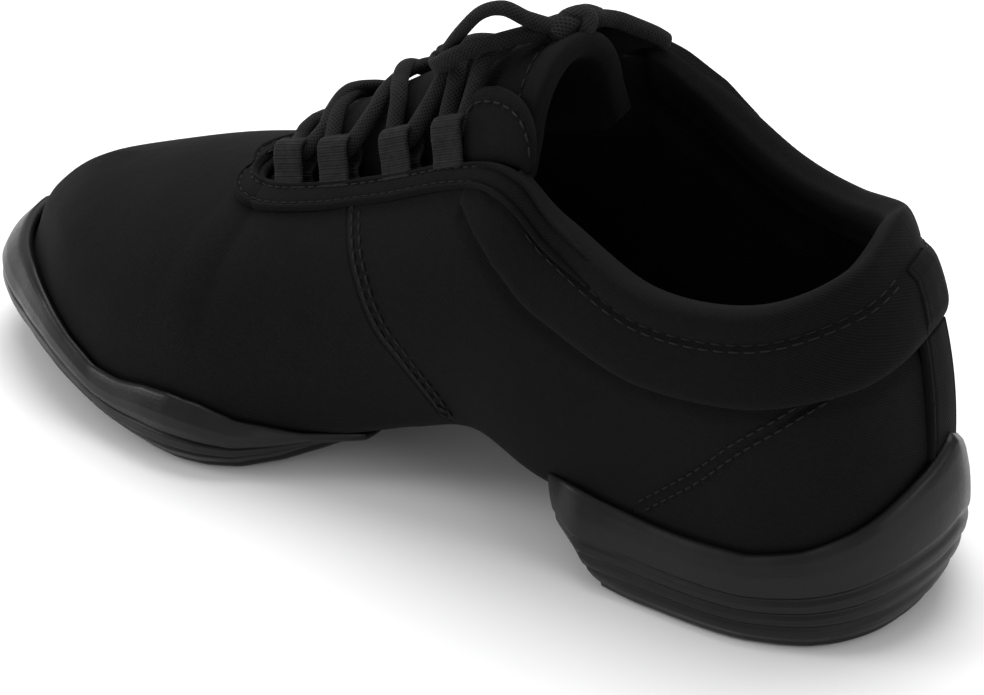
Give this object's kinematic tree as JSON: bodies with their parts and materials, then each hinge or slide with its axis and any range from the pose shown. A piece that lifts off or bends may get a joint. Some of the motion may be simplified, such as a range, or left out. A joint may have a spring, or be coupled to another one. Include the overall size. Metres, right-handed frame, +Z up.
{
  "type": "dance sneaker",
  "caption": "Black split-sole dance sneaker for the right foot, laced through webbing loops and tied in a bow, standing empty.",
  "frame": {"origin": "on the floor, in the middle of the heel's flat spot", "axes": "+X from heel to toe, +Y to the big-toe side, +Z up"},
  "size_m": [0.2537, 0.0964, 0.1196],
  "materials": {
    "cloth": "matt black twill",
    "rubber": "satin black",
    "lining": "matt black lining",
    "webbing": "ribbed black tape",
    "lace": "braided black cord"
  },
  "bodies": {
    "root": {"upper": "cloth", "insole": "lining", "outsole_front": "rubber", "outsole_heel": "rubber", "collar": "cloth", "eyestay": "cloth", "back_strip": "cloth", "tongue": "cloth", "tab_left": "cloth", "tab_right": "cloth", "loop_left_1": "webbing", "loop_left_2": "webbing", "loop_left_3": "webbing", "loop_left_4": "webbing", "loop_right_1": "webbing", "loop_right_2": "webbing", "loop_right_3": "webbing", "loop_right_4": "webbing", "lace_bar": "lace", "lace_cross_1": "lace", "lace_cross_2": "lace", "lace_cross_3": "lace", "lace_knot": "lace", "bow_loop_near": "lace", "bow_loop_far": "lace", "lace_run_near": "lace", "lace_run_far": "lace"}
  },
  "joints": []
}
